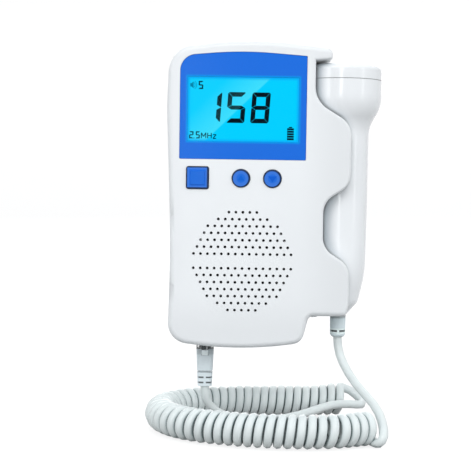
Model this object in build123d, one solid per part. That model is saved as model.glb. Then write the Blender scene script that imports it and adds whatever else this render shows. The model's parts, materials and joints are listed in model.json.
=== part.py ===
from build123d import *
import math
import os

os.makedirs("parts", exist_ok=True)

# Handheld fetal doppler monitor with its probe in the holster at its side.
# X runs across the front towards the probe, Y from the front to the back, Z up.
# The origin is the middle of the flat back. All sizes are in millimetres.

# ---- Display: its window is the first size, and the casing grows with it
window_width = 48.0
window_height = 27.8
window_x = -0.5
window_z = 36.8
panel_side = 3.1           # blue border beside the window
panel_above = 9.1
panel_below = 7.5
panel_left = window_x - window_width / 2 - panel_side
panel_right = window_x + window_width / 2 + panel_side
panel_top = window_z + window_height / 2 + panel_above
panel_bottom = window_z - window_height / 2 - panel_below
panel_crown = 2.0
panel_lean = 0.4           # the panel's upper left corner is lower than the right one
panel_corner = 7.0
panel_small_corner = 0.5
panel_thickness = 1.2
panel_gap = 0.12
glass_border = 1.6
glass_thickness = 1.8
backlight_thickness = 2.4
backlight_sill = 3.0       # the holder's floor reaches this far under the backlight
holder_wall = 1.1
holder_floor = 1.0
holder_leg_radius = 1.6
holder_leg_inset = 2.0
fit_gap = 0.15             # clearance round a piece that is laid into another

# ---- Casing: outline seen from the front
case_depth = 35.0
case_top = panel_top + 3.7             # height of the lip's upper corner
case_bottom = 63.4         # depth of the lower left corner
case_left = 6.6 - panel_left
foot_left = case_left - 2.2
top_lean = 0.1             # the upper left corner is lower than the lip's
top_crown = 3.85           # the crown's tangents meet this far above the lip's corner
bottom_crown = 4.3
bottom_lean = 0.2
crown_round = 160.0
waist_inset = 3.3
waist_z = -24.0
waist_round = 700.0
top_corner_inset = 7.7     # the upper left corner turns twice, wider on the side than on top
top_corner_drop = 5.6
top_corner_round = 9.0
top_side_inset = 1.6
top_side_round = 15.0
side_turn_inset = 0.9      # above this point the side leans inwards
side_turn_z = 38.0
side_turn_round = 150.0
foot_corner_round = 9.0
recess_x = panel_right + 3.8           # edge of the front wall beside the probe's head
heel_x = recess_x - 4.2    # lower right corner of the main body
heel_round = 5.5
heel_lean = 3.0            # the heel's side leans outwards up to the wing
wing_root_round = 2.6
head_radius = 17.3
head_inset = 4.6           # the probe's head reaches this far behind the front wall
probe_x = recess_x - head_inset + head_radius
wing_x = probe_x + 3.1     # edge of the wing that covers the probe's handle
wing_bottom = -51.85
wing_chamfer = 4.8
wing_chamfer_inset = 1.4
shoulder_low = 31.2        # heights at which the wing's wavy edge turns
shoulder_high = 40.8
shoulder_round = 10.0
notch_x = probe_x - 8.5    # bottom of the finger notch
notch_z = (-29.8, -22.4, -2.4, 5.0)
notch_round = 8.8
lip_x = probe_x - 5.5      # end of the lip over the probe's head
lip_rise = 0.6             # the lip's underside rises outwards
lip_end_round = 3.2
case_edge = 3.2            # rounding of the front and back edges
wave_edge = 1.1            # rounding along the wavy edge
wall = 2.2
split_y = -case_depth / 2  # parting plane of the two shells
seam_depth = 0.3           # shadow groove along the parting line
seam_half = 0.15

# ---- Probe and its holster
probe_y = split_y
handle_radius = 12.1
handle_foot_radius = 11.8
cap_top = 57.45
cap_height = 6.5
cap_round = 2.4
cap_face = 1.5             # thickness of the cap's face
head_bottom = 39.3
handle_top = 31.0
handle_taper_z = -33.0
handle_end_radius = 8.6
handle_end_z = -46.8
probe_bottom = -52.4
head_round = 17.0
neck_round = 15.0
handle_round = 60.0
handle_end_round = 6.0
probe_wall = 2.0
probe_clearance = 0.35
lip_clearance = 0.7
spigot_height = 2.4
spigot_clearance = 0.1
crystal_radius = 11.0
crystal_thickness = 1.0
crystal_gap = 1.0
probe_board_half = 0.6
relief_radius = 3.5
relief_length = 10.0
relief_flange = 1.6
relief_flange_radius = 4.3
relief_neck = 1.1          # depth of the sleeve's flex slots
relief_slot_rise = 2.7     # height of the flex slots above the sleeve's tip
relief_slot_half = 0.45
bridge_half = 0.5          # half width of the bridges between flex slots

# ---- Keys
key_z = 7.3
power_key_x = panel_left + 7.9
power_key_size = 9.4
power_key_corner = 0.8
round_key_x = (-1.05, 12.45)
round_key_radius = 3.8
key_gap = 0.25
key_height = 0.8
key_edge = 0.35
key_flange = 1.2
key_flange_thickness = 1.2
key_travel = 0.6
key_stem_radius = 1.6
key_rest_gap = 0.05
inlay_size = 6.2           # raised square on the power key
inlay_height = 0.35
inlay_edge = 0.2
switch_size = 6.0
switch_body = 3.4
switch_tip_radius = 1.7
switch_tip = 0.9

# ---- Circuit board
board_stand = 3.65         # from the back of the backlight to the board
board_thickness = 1.6
board_left = 5.6 - case_left
board_right = recess_x - 7.6
board_top = panel_top - 0.8
board_bottom = -4.4
board_leg_right = board_left + 4.8
board_foot_top = -50.5
board_foot_right = 14.6
board_foot_bottom = -59.7
board_foot_cut = 5.5       # slanted corner of the foot
board_corner = 6.0

# ---- Speaker and its grille
grille_hole_counts = (5, 8, 11, 12, 13, 14, 15)
grille_pitch = 3.0
grille_gap = 6.2
grille_z = -28.4
grille_hole_radius = 0.64
grille_hole_sides = 8
speaker_radius = 22.6
speaker_rim = 1.2
speaker_back_room = 3.3    # between the speaker and the battery bay
speaker_rib = 1.2
speaker_rib_height = 3.0
speaker_sheet = 0.8
surround = 2.5             # width of the cone's rolled edge
gasket_thickness = 0.5
magnet_radius = 9.5
magnet_height = 4.0
dome_radius = 6.0

# ---- Batteries: two AA cells side by side behind a hinged door
cell_radius = 7.25
cell_length = 50.5
cell_nub_radius = 2.7
cell_nub = 1.0
cell_gap = 0.6
bay_x = 6.3
bay_top = -2.2
bay_spring_space = 3.0     # room for the contacts at each end of the cells
bay_wall = 1.3
bay_half_width = cell_radius * 2 + cell_gap * 1.5
contact_thickness = 0.4
contact_width = 9.0
contact_bend = 1.2
door_border = 1.9
door_thickness = 1.5
door_gap = 0.2
door_corner = 2.0
door_tab_width = 6.0
door_tab_length = 1.4
door_tab_thickness = 0.6
door_tab_x = 10.0
door_rib_height = 0.9
door_rib_half = 0.6
door_rib_length = 8.0
door_rib_inset = 12.0
door_grip_length = 12.0
door_grip_pitch = 2.0
door_grip_rise = 6.0       # lowest grip groove above the door's lower edge
door_grip_half = 0.4
door_grip_depth = 0.5
door_grips = 4

# ---- Sockets in the bottom
jack_width = 10.6
jack_gap = 0.1             # between the jack and the wall of the battery bay
jack_x = bay_x - bay_half_width - bay_wall - jack_gap - jack_width / 2
jack_depth = 11.0
jack_height = 14.0
jack_mouth_z = -64.3
plug_stand = 5.7           # from the back of the board to the middle of the plug
socket_x = 9.0
socket_width = 6.4
socket_depth = 5.4
socket_height = 10.6
socket_collar = 2.6
socket_back = 1.0
socket_bore_radius = 1.78
socket_collar_radius = 2.6
socket_mouth_z = -64.9

# ---- Screws, entered from the back
boss_radius = 3.6
front_boss_radius = 2.9
jack_boss_gap = 1.15       # between the jack and the boss beside it
screw_places = (
    (9.7 - case_left, 58.3),
    (16.5, 59.4),
    (jack_x - jack_width / 2 - jack_boss_gap - boss_radius, -56.4),
    (recess_x - 5.5, 4.0),
    (heel_x + 4.8, wing_bottom + boss_radius),
)
screw_head_radius = 2.3
screw_head = 1.7
screw_cross = 1.5
screw_cross_half = 0.3
screw_cross_depth = 0.8
screw_shank_radius = 1.25
screw_length = 12.0
screw_seat_y = -10.0
screw_clearance = 0.3
board_shoulder = 1.2       # step on the front bosses that the board lies on
tongue = 0.9
tongue_gap = 0.12

# ---- Plug
plug_width = 7.65
plug_depth = 6.0
plug_length = 14.3
plug_insertion = 10.0
plug_clearance = 0.15
latch_width = 2.7
latch_thickness = 0.7
latch_reach = 2.4
latch_room = 2.3           # depth of the jack's channel for the latch
latch_tab = 2.4            # the latch's tab reaches this far past the boot's top
jack_contact_room = 1.4
jack_wire_half = 0.2
blade_depth = 1.6
blade_recess = 0.1
blade_half = 0.17
blade_slot_half = 0.22
wire_setback = 0.4
contact_pitch = 1.27
contact_count = 4
wire_radius = 0.42
boot_top_width = 7.7
boot_bottom_width = 6.3
boot_top_depth = 6.6
boot_bottom_depth = 5.4
boot_length = 16.6
boot_slot = 0.8
boot_slot_depth = 0.9
boot_slot_rises = (1.6, 3.9)   # rows of slots above the boot's tip
boot_groove_rise = 6.5

# ---- Curly cord
cord_diameter = 3.8
coil_diameter = 14.0
floor_z = -103.4           # the surface that the curly cord lies on
coil_z = floor_z + coil_diameter / 2
bend_share = 0.45          # share of a run that a bend may use

reach = 200.0              # far enough to cut past the whole casing

# ---- Depths and heights worked out from the driving dimensions
front_y = -case_depth
inner_front_y = front_y + wall
glass_front_y = inner_front_y + fit_gap
glass_back_y = glass_front_y + glass_thickness
backlight_back_y = glass_back_y + backlight_thickness
board_front_y = backlight_back_y + board_stand
board_back_y = board_front_y + board_thickness
plug_y = board_back_y + plug_stand
socket_y = board_front_y - socket_depth / 2
switch_tip_y = board_front_y - switch_body - switch_tip
key_flange_y = inner_front_y + key_rest_gap
key_stem_y = switch_tip_y - key_travel - 0.05
cell_y = -door_thickness - door_rib_height - cell_radius
bay_floor_y = cell_y - cell_radius
speaker_front_y = inner_front_y + gasket_thickness
speaker_depth = bay_floor_y - bay_wall - speaker_back_room - speaker_front_y

lip_z = cap_top + lip_clearance
cap_seam_z = cap_top - cap_height
void_right = recess_x - wall
soft_edge = min(case_edge, 0.48 * (case_top - lip_z - lip_rise))
bay_height = cell_length + 2 * bay_spring_space
bay_bottom = bay_top - bay_height
door_top = bay_top + door_border
door_bottom = bay_bottom - door_border
door_half_width = bay_half_width + door_border
relief_tip_z = probe_bottom - relief_length
plug_top_z = jack_mouth_z + plug_insertion
boot_top_z = plug_top_z - plug_length
boot_tip_z = boot_top_z - boot_length

# ---- Points of the cord, from the plug to the coil, along the coil, and on to the probe
plug_tail_route = [
    (jack_x, plug_y, boot_tip_z),
    (jack_x, plug_y, -91.5),
    (-12.0, -14.0, -96.5),
    (-6.0, -9.0, -100.3),
    (5.0, -7.0, -101.4),
    (22.0, -5.5, -100.2),
    (33.5, -2.5, -98.1),
    (43.0, 0.3, -96.2),
    (51.5, 1.8, -96.2),
    (57.6, 4.6, -97.3),
    (57.0, 10.4, -95.4),
    (52.2, 11.5, -91.4),
    (48.8, 11.5, -90.4),
]
coil_route = [
    (49.0, 11.5, coil_z + 1.0),
    (38.0, 10.2, coil_z),
    (26.0, 9.3, coil_z),
    (5.0, 7.6, coil_z),
    (-13.0, 3.6, coil_z),
    (-28.0, -5.5, coil_z),
    (-35.8, -21.0, coil_z),
    (-32.3, -38.5, coil_z),
    (-20.5, -51.5, coil_z),
    (-3.5, -59.3, coil_z),
    (15.0, -63.2, coil_z),
    (31.5, -62.8, coil_z),
    (42.5, -60.0, coil_z),
    (51.6, -54.6, coil_z),
]
probe_tail_route = [
    (54.7, -55.9, -101.4),
    (57.4, -60.3, -101.4),
    (59.6, -60.3, -98.6),
    (59.6, -53.0, -93.5),
    (57.6, -43.0, -88.4),
    (50.8, -28.0, -82.6),
    (45.4, -20.2, -74.2),
    (probe_x, probe_y, -66.8),
    (probe_x, probe_y, relief_tip_z),
]


# ---- Helpers
def turn_at(before, corner, after):
    """Half of the angle by which a path turns at a corner, in radians, and its shorter run."""
    first = Vector(*corner) - Vector(*before)
    second = Vector(*after) - Vector(*corner)
    return math.radians(first.get_angle(second)) / 2, min(first.length, second.length)


def rounded_outline(corners):
    """Closed XZ face through corners (x, z, radius); two neighbours share a side that is short."""
    count = len(corners)
    points = [corner[:2] for corner in corners]
    half_turns = [turn_at(points[i - 1], points[i], points[(i + 1) % count])[0] for i in range(count)]
    tangents = [corners[i][2] * math.tan(half_turns[i]) for i in range(count)]
    radii = []
    for i in range(count):
        share = 1.0
        for j in (i - 1, (i + 1) % count):
            side = math.dist(points[i], points[j])
            needed = tangents[i] + tangents[j]
            if needed > 0.98 * side:
                share = min(share, 0.98 * side / needed)
        radii.append(corners[i][2] * share)
    return Plane.XZ * make_face(FilletPolyline(*points, radius=radii, close=True))


def slab(face, front_y, back_y):
    """Solid between two depths from a face that lies in the XZ plane."""
    return Pos(0, back_y, 0) * extrude(face, amount=back_y - front_y)


def block(x_range, y_range, z_range):
    """Box between three pairs of limits."""
    low, high = zip(x_range, y_range, z_range)
    return Pos(*low) * Box(*(b - a for a, b in zip(low, high)), align=(Align.MIN,) * 3)


def rod(x, z, radius, front_y, back_y):
    """Cylinder along Y."""
    return Pos(x, back_y, z) * extrude(Plane.XZ * Circle(radius), amount=back_y - front_y)


def post(x, y, radius, low_z, high_z):
    """Cylinder along Z."""
    return Pos(x, y, low_z) * extrude(Circle(radius), amount=high_z - low_z)


def group(pieces):
    """One compound of the separate solids of several pieces."""
    return Compound(children=[solid for piece in pieces for solid in piece.solids()])


def edges_at(part, y):
    """Edges that lie in the plane at depth y."""
    return [e for e in part.edges() if max(abs((e @ t).Y - y) for t in (0, 0.5, 1)) < 1e-4]


def spun(points, radii):
    """Solid of revolution about Z from an (r, z) profile that ends on the axis."""
    line = FilletPolyline(*points, radius=radii)
    profile = make_face(Plane.XZ * (Wire(line.edges() + [Edge.make_line(line @ 1, line @ 0)])))
    return revolve(profile, axis=Axis.Z)


def cord_tube(points, diameter, name):
    """Tube along straight runs joined by tangent arcs, with its bend radii printed."""
    radii = []
    for before, corner, after in zip(points, points[1:], points[2:]):
        half_turn, run = turn_at(before, corner, after)
        radii.append(bend_share * run / math.tan(half_turn))
    path = FilletPolyline(*points, radius=radii)
    section = Plane(origin=path @ 0, z_dir=path % 0) * Circle(diameter / 2)
    tube = sweep(section, path=path)
    print(name, "length", round(path.length, 1), "radii", [round(r, 1) for r in radii])
    print(name, "volume over section times length",
          round(tube.volume / (math.pi * diameter ** 2 / 4 * path.length), 4))
    return tube


# ---- Casing
def case_outline():
    """Outline of the casing from the front, clockwise from the corner under the lip."""
    return rounded_outline([
        (recess_x, lip_z, 0),
        (lip_x, lip_z + lip_rise, 0),
        (lip_x, case_top, lip_end_round),
        ((lip_x - case_left) / 2, case_top + top_crown, crown_round),
        (-case_left + top_corner_inset, case_top - top_lean, top_corner_round),
        (-case_left + top_side_inset, case_top - top_corner_drop, top_side_round),
        (-case_left + side_turn_inset, side_turn_z, side_turn_round),
        (-case_left + waist_inset, waist_z, waist_round),
        (-foot_left, -case_bottom, foot_corner_round),
        ((heel_x - foot_left) / 2 + 2, -case_bottom - bottom_crown, crown_round),
        (heel_x, -case_bottom - bottom_lean, heel_round),
        (heel_x + heel_lean, wing_bottom, wing_root_round),
        (wing_x - wing_chamfer_inset, wing_bottom, 0),
        (wing_x, wing_bottom + wing_chamfer, wing_root_round),
        (wing_x, notch_z[0], notch_round),
        (notch_x, notch_z[1], notch_round),
        (notch_x, notch_z[2], notch_round),
        (wing_x, notch_z[3], notch_round),
        (wing_x, shoulder_low, shoulder_round),
        (recess_x, shoulder_high, shoulder_round + 1),
    ])


def case_block():
    """Solid casing: wide rounding outside, a finer one along the wavy edge."""
    solid = slab(case_outline(), front_y, 0)

    def on_wave(edge):
        middle = edge @ 0.5
        return middle.X > heel_x + heel_lean - 1 and wing_bottom + 0.1 < middle.Z < lip_z + lip_rise

    rim = [e for y in (front_y, 0) for e in edges_at(solid, y)]
    solid = fillet([e for e in rim if not on_wave(e)], soft_edge)
    rim = [e for y in (front_y, 0) for e in edges_at(solid, y)]
    return fillet([e for e in rim if on_wave(e)], wave_edge)


def probe_profile(grow=0.0, top=None):
    """Half outline of head and handle as (r, z) points with their bend radii."""
    points = [
        (0, cap_top if top is None else top),
        (head_radius + grow, cap_top if top is None else top),
        (head_radius + grow, head_bottom),
        (handle_radius + grow, handle_top),
        (handle_foot_radius + grow, handle_taper_z),
        (handle_end_radius + grow, handle_end_z),
        (relief_radius + 0.2 + grow, probe_bottom - grow),
        (0, probe_bottom - grow),
    ]
    corner_round = cap_round if top is None else 0
    return points, [corner_round, head_round, neck_round, handle_round, handle_end_round, 0.8]


def holster_cut():
    """Room for the probe, open to the side so that it pulls straight out."""
    points, radii = probe_profile(probe_clearance, lip_z)
    points = points[:-2] + [(relief_radius + 2 * probe_clearance, wing_bottom - wall),
                            (0, wing_bottom - wall)]
    line = FilletPolyline(*points, radius=radii)
    half = Plane.YZ * make_face(Wire(line.edges() + [Edge.make_line(line @ 1, line @ 0)]))
    side = extrude(half + mirror(half, Plane.XZ), amount=wing_x)
    return Pos(probe_x, probe_y, 0) * (spun(points, radii) + side)


def case_void():
    """Space inside the two shells, kept clear of the holster."""
    inner = offset(case_outline(), amount=-wall, kind=Kind.INTERSECTION)
    left = Plane.XZ * Pos(void_right - reach / 2, 0) * Rectangle(reach, reach)
    points, radii = probe_profile(probe_clearance + wall - 0.4, lip_z + wall)
    holster = Pos(probe_x, probe_y, 0) * spun(points, radii)
    return slab(inner & left, inner_front_y, -wall) - holster


def parting_tongue(gap):
    """Rib round the left part of the parting plane that lines up the two shells."""
    inner = offset(case_outline(), amount=-wall, kind=Kind.INTERSECTION)
    outer = offset(case_outline(), amount=-wall + tongue + gap, kind=Kind.INTERSECTION)
    left = Plane.XZ * Pos(screw_places[1][0] - 6 - reach / 2, 0) * Rectangle(reach, reach)
    return slab((outer - inner) & left, split_y, split_y + tongue + gap)


def seam_groove(low_y):
    """Shadow groove in one shell along the outer edge of the parting plane."""
    outline = case_outline()
    rim = outline - offset(outline, amount=-seam_depth, kind=Kind.INTERSECTION)
    return slab(rim, low_y, low_y + seam_half)


def grille_places():
    """Holes of the grille: two mirrored groups of rows with a plain band between them."""
    for index, count in enumerate(reversed(grille_hole_counts)):
        rise = grille_gap / 2 + index * grille_pitch
        for column in range(count):
            x = (column - (count - 1) / 2) * grille_pitch
            yield x, grille_z + rise
            yield x, grille_z - rise


def grille_holes():
    """Prisms of all the holes, through the front wall."""
    prism = Plane.XZ * RegularPolygon(grille_hole_radius, grille_hole_sides)
    prism = slab(prism, front_y, inner_front_y)
    return [Pos(x, 0, z) * prism for x, z in grille_places()]


def panel_face(gap=0.0):
    """Outline of the blue panel, or of its recess when a gap is given."""
    middle = (panel_left + panel_right) / 2
    return rounded_outline([
        (panel_left - gap, panel_bottom - gap, panel_small_corner),
        (panel_right + gap, panel_bottom - gap, panel_small_corner),
        (panel_right + gap, panel_top + gap, panel_small_corner),
        (middle, panel_top + panel_crown + gap, crown_round),
        (panel_left - gap, panel_top + gap - panel_lean, panel_corner),
    ])


def window_face(border=0.0):
    """Rectangle of the display window, widened by a border."""
    size = Rectangle(window_width + 2 * border, window_height + 2 * border)
    return Plane.XZ * Pos(window_x, window_z) * size


def key_faces(grow):
    """Plan outlines of the three keys: one square, two round."""
    size = power_key_size + 2 * grow
    square = RectangleRounded(size, size, power_key_corner + grow)
    faces = [Plane.XZ * Pos(power_key_x, key_z) * square]
    faces += [Plane.XZ * Pos(x, key_z) * Circle(round_key_radius + grow) for x in round_key_x]
    return faces


def front_shell():
    """Front half of the casing with the grille, the window and the key holes."""
    shell = case_block() & block((-reach, reach), (front_y, split_y), (-reach, reach))
    shell -= case_void()
    holster = holster_cut()
    shell -= holster
    shell -= slab(panel_face(panel_gap), front_y, front_y + panel_thickness + panel_gap)
    shell -= slab(window_face(), front_y, inner_front_y)
    for face in key_faces(key_gap):
        shell -= slab(face, front_y, inner_front_y)
    ring_radius = speaker_radius + 2 * fit_gap
    ring = rod(0, grille_z, ring_radius + speaker_rib, inner_front_y, inner_front_y + speaker_rib_height)
    shell += ring - rod(0, grille_z, ring_radius, inner_front_y, split_y)
    for x, z in screw_places:
        shell += rod(x, z, front_boss_radius, inner_front_y, split_y) - holster
        shell += rod(x, z, front_boss_radius + board_shoulder, inner_front_y, board_front_y) - holster
        shell -= rod(x, z, screw_shank_radius + 0.05, screw_seat_y - screw_length - 1, split_y)
    shell += parting_tongue(0)
    shell -= seam_groove(split_y - seam_half)
    shell -= bottom_openings()
    return shell - grille_holes()


def bottom_openings():
    """Openings in the bottom wall for the cord's jack and the earphone socket."""
    jack = block((jack_x - jack_width / 2 - fit_gap, jack_x + jack_width / 2 + fit_gap),
                 (board_back_y - fit_gap, board_back_y + jack_depth + fit_gap),
                 (-reach, jack_mouth_z + wall + 1.8))
    socket = post(socket_x, socket_y, socket_collar_radius + fit_gap, -reach,
                  socket_mouth_z + socket_collar + 1.2)
    return jack + socket


def rear_shell():
    """Back half of the casing with the battery bay, the door's recess and the screw bosses."""
    shell = case_block() & block((-reach, reach), (split_y, 0), (-reach, reach))
    void = case_void()
    holster = holster_cut()
    shell -= void
    for x, z in screw_places:
        shell += rod(x, z, boss_radius, split_y, -wall)
    bay = block((bay_x - bay_half_width - bay_wall, bay_x + bay_half_width + bay_wall),
                (bay_floor_y - bay_wall, -wall),
                (bay_bottom - bay_wall, bay_top + bay_wall))
    shell += bay
    shell -= block((bay_x - bay_half_width, bay_x + bay_half_width), (bay_floor_y, 1), (bay_bottom, bay_top))
    recess = RectangleRounded(2 * (door_half_width + door_gap), door_top - door_bottom + 2 * door_gap,
                              door_corner + door_gap)
    middle_z = (door_top + door_bottom) / 2
    shell -= slab(Plane.XZ * Pos(bay_x, middle_z) * recess, -door_thickness - fit_gap, 1)
    for side in (-1, 1):
        shell -= door_pocket(bay_x + side * door_tab_x)
    for x, z in screw_places:
        shell -= rod(x, z, screw_head_radius + screw_clearance, screw_seat_y, 1)
        shell -= rod(x, z, screw_shank_radius + screw_clearance, split_y - 1, screw_seat_y)
    shell -= holster
    shell -= parting_tongue(tongue_gap)
    shell -= seam_groove(split_y)
    return shell - bottom_openings()


def door_pocket(x):
    """Slot above the door in which a tab swings about the door's upper outer edge."""
    swing = math.hypot(door_tab_length, door_thickness) + door_gap
    half = door_tab_width / 2 + door_gap
    roll = Pos(x - half, 0, door_top) * extrude(Plane.YZ * Circle(swing), amount=2 * half)
    roof_y = -door_thickness + door_tab_thickness + 0.1
    return roll & block((x - half, x + half), (-swing, roof_y), (door_top - swing, door_top + swing))


# ---- Battery compartment
def battery_door():
    """Cover that swings out about its upper edge, with two tabs, grip ridges and inner ribs."""
    middle_z = (door_top + door_bottom) / 2
    plate = RectangleRounded(2 * door_half_width, door_top - door_bottom, door_corner)
    door = slab(Plane.XZ * Pos(bay_x, middle_z) * plate, -door_thickness, 0)
    for index in range(door_grips):
        z = door_bottom + door_grip_rise + index * door_grip_pitch
        groove = block((bay_x - door_grip_length / 2, bay_x + door_grip_length / 2),
                       (-door_grip_depth, 1), (z - door_grip_half, z + door_grip_half))
        door -= groove
    for side in (-1, 1):
        x = bay_x + side * door_tab_x
        door += block((x - door_tab_width / 2, x + door_tab_width / 2),
                      (-door_thickness, -door_thickness + door_tab_thickness),
                      (door_top - 1, door_top + door_tab_length))
    for z in (bay_top - door_rib_inset, bay_bottom + door_rib_inset):
        door += block((bay_x - door_rib_half, bay_x + door_rib_half),
                      (-door_thickness - door_rib_height, -door_thickness),
                      (z - door_rib_length / 2, z + door_rib_length / 2))
    return door


def battery_cell(side):
    """AA cell; the two lie head to tail."""
    low = bay_bottom + bay_spring_space
    x = bay_x + side * (cell_radius + cell_gap / 2)
    body = post(x, cell_y, cell_radius, low, low + cell_length - cell_nub)
    body = fillet(body.edges().filter_by(GeomType.CIRCLE), 0.6)
    cell = body + post(x, cell_y, cell_nub_radius, low + cell_length - cell_nub, low + cell_length)
    middle = low + cell_length / 2
    return cell if side < 0 else Pos(x, cell_y, middle) * Rot(180, 0, 0) * Pos(-x, -cell_y, -middle) * cell


def contact_bow(x, plate_z, inward):
    """Bowed strip that stands on its plate and presses on the end of a cell."""
    start = plate_z + inward * 0.4 * contact_thickness
    top = start + inward * (bay_spring_space - 1.9 * contact_thickness)
    bow = [(x - contact_width / 2, start), (x - contact_width / 5, top),
           (x + contact_width / 5, top), (x + contact_width / 2, start)]
    curve = FilletPolyline(*bow, radius=[contact_bend, contact_bend])
    shape = offset(curve, amount=contact_thickness / 2, side=Side.BOTH, closed=True, kind=Kind.INTERSECTION)
    return slab(Plane.XZ * make_face(shape), cell_y - contact_width / 3, cell_y + contact_width / 3)


def battery_contacts():
    """Sprung contacts at the bay's two ends: one bridge above, two single ones below."""
    half_plate = contact_width * 0.6
    cell_places = [bay_x + side * (cell_radius + cell_gap / 2) for side in (-1, 1)]
    bridge = [(cell_places[0] - half_plate, cell_places[1] + half_plate)]
    singles = [(x - half_plate, x + half_plate) for x in cell_places]
    pieces = []
    for wall_z, inward, plates in ((bay_top, -1, bridge), (bay_bottom, 1, singles)):
        plate_z = wall_z + inward * contact_thickness
        for x_low, x_high in plates:
            plate = block((x_low, x_high), (cell_y - half_plate, cell_y + half_plate),
                          sorted((wall_z, plate_z)))
            bows = [contact_bow(x, plate_z, inward) for x in cell_places if x_low < x < x_high]
            pieces.append(plate + bows)
    return group(pieces)


# ---- Display
def display_panel():
    """Blue window panel, flush with the front."""
    return slab(panel_face(), front_y + panel_gap, front_y + panel_gap + panel_thickness)


def lcd_glass():
    return slab(window_face(glass_border), glass_front_y, glass_back_y)


def lcd_backlight():
    return slab(window_face(glass_border), glass_back_y, backlight_back_y)


def lcd_holder():
    """Tray that grips glass and backlight and stands on the board."""
    border = glass_border + fit_gap
    tray = slab(window_face(border + holder_wall), glass_front_y + 0.3, backlight_back_y + holder_floor)
    tray -= slab(window_face(border), glass_front_y, backlight_back_y)
    tray -= slab(window_face(-backlight_sill), glass_front_y, board_front_y)
    for side_x in (-1, 1):
        for side_z in (-1, 1):
            tray += rod(window_x + side_x * (window_width / 2 - holder_leg_inset),
                        window_z + side_z * (window_height / 2 - holder_leg_inset),
                        holder_leg_radius, backlight_back_y, board_front_y)
    return tray


# ---- Board and switches
def main_board():
    """Board behind the display, with a leg beside the speaker and a foot at the sockets."""
    face = rounded_outline([
        (board_left, board_top, board_corner),
        (board_right, board_top, 2.0),
        (board_right, board_bottom, 2.0),
        (board_leg_right, board_bottom, 2.0),
        (board_leg_right, board_foot_top, 2.0),
        (board_foot_right, board_foot_top, 1.0),
        (board_foot_right, board_foot_bottom, 1.0),
        (board_left + board_foot_cut, board_foot_bottom, 2.0),
        (board_left, board_foot_bottom + board_foot_cut, 2.0),
    ])
    board = slab(face, board_front_y, board_back_y)
    for x, z in screw_places:
        board -= rod(x, z, front_boss_radius + 0.4, board_front_y - 1, board_back_y + 1)
    return board


def tact_switches():
    """Three push switches on the front of the board."""
    switches = []
    for x in (power_key_x, *round_key_x):
        half = switch_size / 2
        body = block((x - half, x + half), (board_front_y - switch_body, board_front_y),
                     (key_z - half, key_z + half))
        body = chamfer(edges_at(body, board_front_y - switch_body), 0.4)
        switches.append(body + rod(x, key_z, switch_tip_radius, switch_tip_y, board_front_y - switch_body))
    return group(switches)


# ---- Keys
def key(index):
    """Key cap with a flange behind the wall and a stem to its switch."""
    x = (power_key_x, *round_key_x)[index]
    cap = slab(key_faces(0)[index], front_y - key_height, key_flange_y)
    cap = fillet(edges_at(cap, front_y - key_height), key_edge)
    cap += slab(key_faces(key_flange)[index], key_flange_y, key_flange_y + key_flange_thickness)
    cap += rod(x, key_z, key_stem_radius, key_flange_y + key_flange_thickness, key_stem_y)
    if index == 0:
        square = Plane.XZ * Pos(x, key_z) * RectangleRounded(inlay_size, inlay_size, 0.5)
        inlay = slab(square, front_y - key_height - inlay_height, front_y - key_height)
        cap += chamfer(edges_at(inlay, front_y - key_height - inlay_height), inlay_edge)
    return cap


# ---- Speaker
def speaker_frame():
    """Pressed basket: rim, sloping wall and a seat for the magnet."""
    back = speaker_front_y + speaker_depth - magnet_height
    outer, sheet = speaker_radius, speaker_sheet
    profile = [
        (outer, 0), (outer, speaker_rim), (outer - 3.5, speaker_rim),
        (magnet_radius + 2, back - speaker_front_y),
        (dome_radius + 1, back - speaker_front_y), (dome_radius + 1, back - speaker_front_y - sheet),
        (magnet_radius + 1.6, back - speaker_front_y - sheet), (outer - 4.2, speaker_rim - sheet),
        (outer - surround, speaker_rim - sheet), (outer - surround, 0),
    ]
    ring = revolve(Plane.XZ * make_face(Polyline(*profile, close=True)), axis=Axis.Z)
    return Pos(0, speaker_front_y, grille_z) * Rot(-90, 0, 0) * ring


def speaker_cone():
    """Paper cone with its rolled edge and dust cap."""
    depth = speaker_depth - magnet_height - 2.2
    profile = [
        (speaker_radius - surround, 0.1), (speaker_radius - surround, 0.38), (speaker_radius - 5.2, 0.38),
        (dome_radius, depth), (0, depth), (0, depth - 1.6), (dome_radius - 1.5, depth - 0.9),
        (speaker_radius - 5.6, 0.1),
    ]
    line = FilletPolyline(*profile, radius=[0, 0, 0.6, 0, 0, 0, 0, 0], close=True)
    cone = revolve(Plane.XZ * make_face(line), axis=Axis.Z)
    return Pos(0, speaker_front_y, grille_z) * Rot(-90, 0, 0) * cone


def speaker_magnet():
    back = speaker_front_y + speaker_depth
    magnet = rod(0, grille_z, magnet_radius, back - magnet_height, back)
    return chamfer(edges_at(magnet, back), 0.6)


def speaker_gasket():
    ring = rod(0, grille_z, speaker_radius, inner_front_y, speaker_front_y)
    return ring - rod(0, grille_z, speaker_radius - 2.4, inner_front_y, speaker_front_y)


# ---- Sockets
def modular_jack():
    """Four-way jack: a box with a cavity shaped to the plug and its latch."""
    top = jack_mouth_z + jack_height
    jack = block((jack_x - jack_width / 2, jack_x + jack_width / 2),
                 (board_back_y, board_back_y + jack_depth), (jack_mouth_z, top))
    half = plug_width / 2 + plug_clearance
    cavity_top = plug_top_z + 0.3
    jack -= block((jack_x - half, jack_x + half),
                  (plug_y - plug_depth / 2 - plug_clearance, plug_y + plug_depth / 2 + jack_contact_room),
                  (jack_mouth_z, cavity_top))
    jack -= block((jack_x - latch_width / 2 - 0.4, jack_x + latch_width / 2 + 0.4),
                  (plug_y - plug_depth / 2 - latch_room, plug_y), (jack_mouth_z, cavity_top))
    return jack


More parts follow.
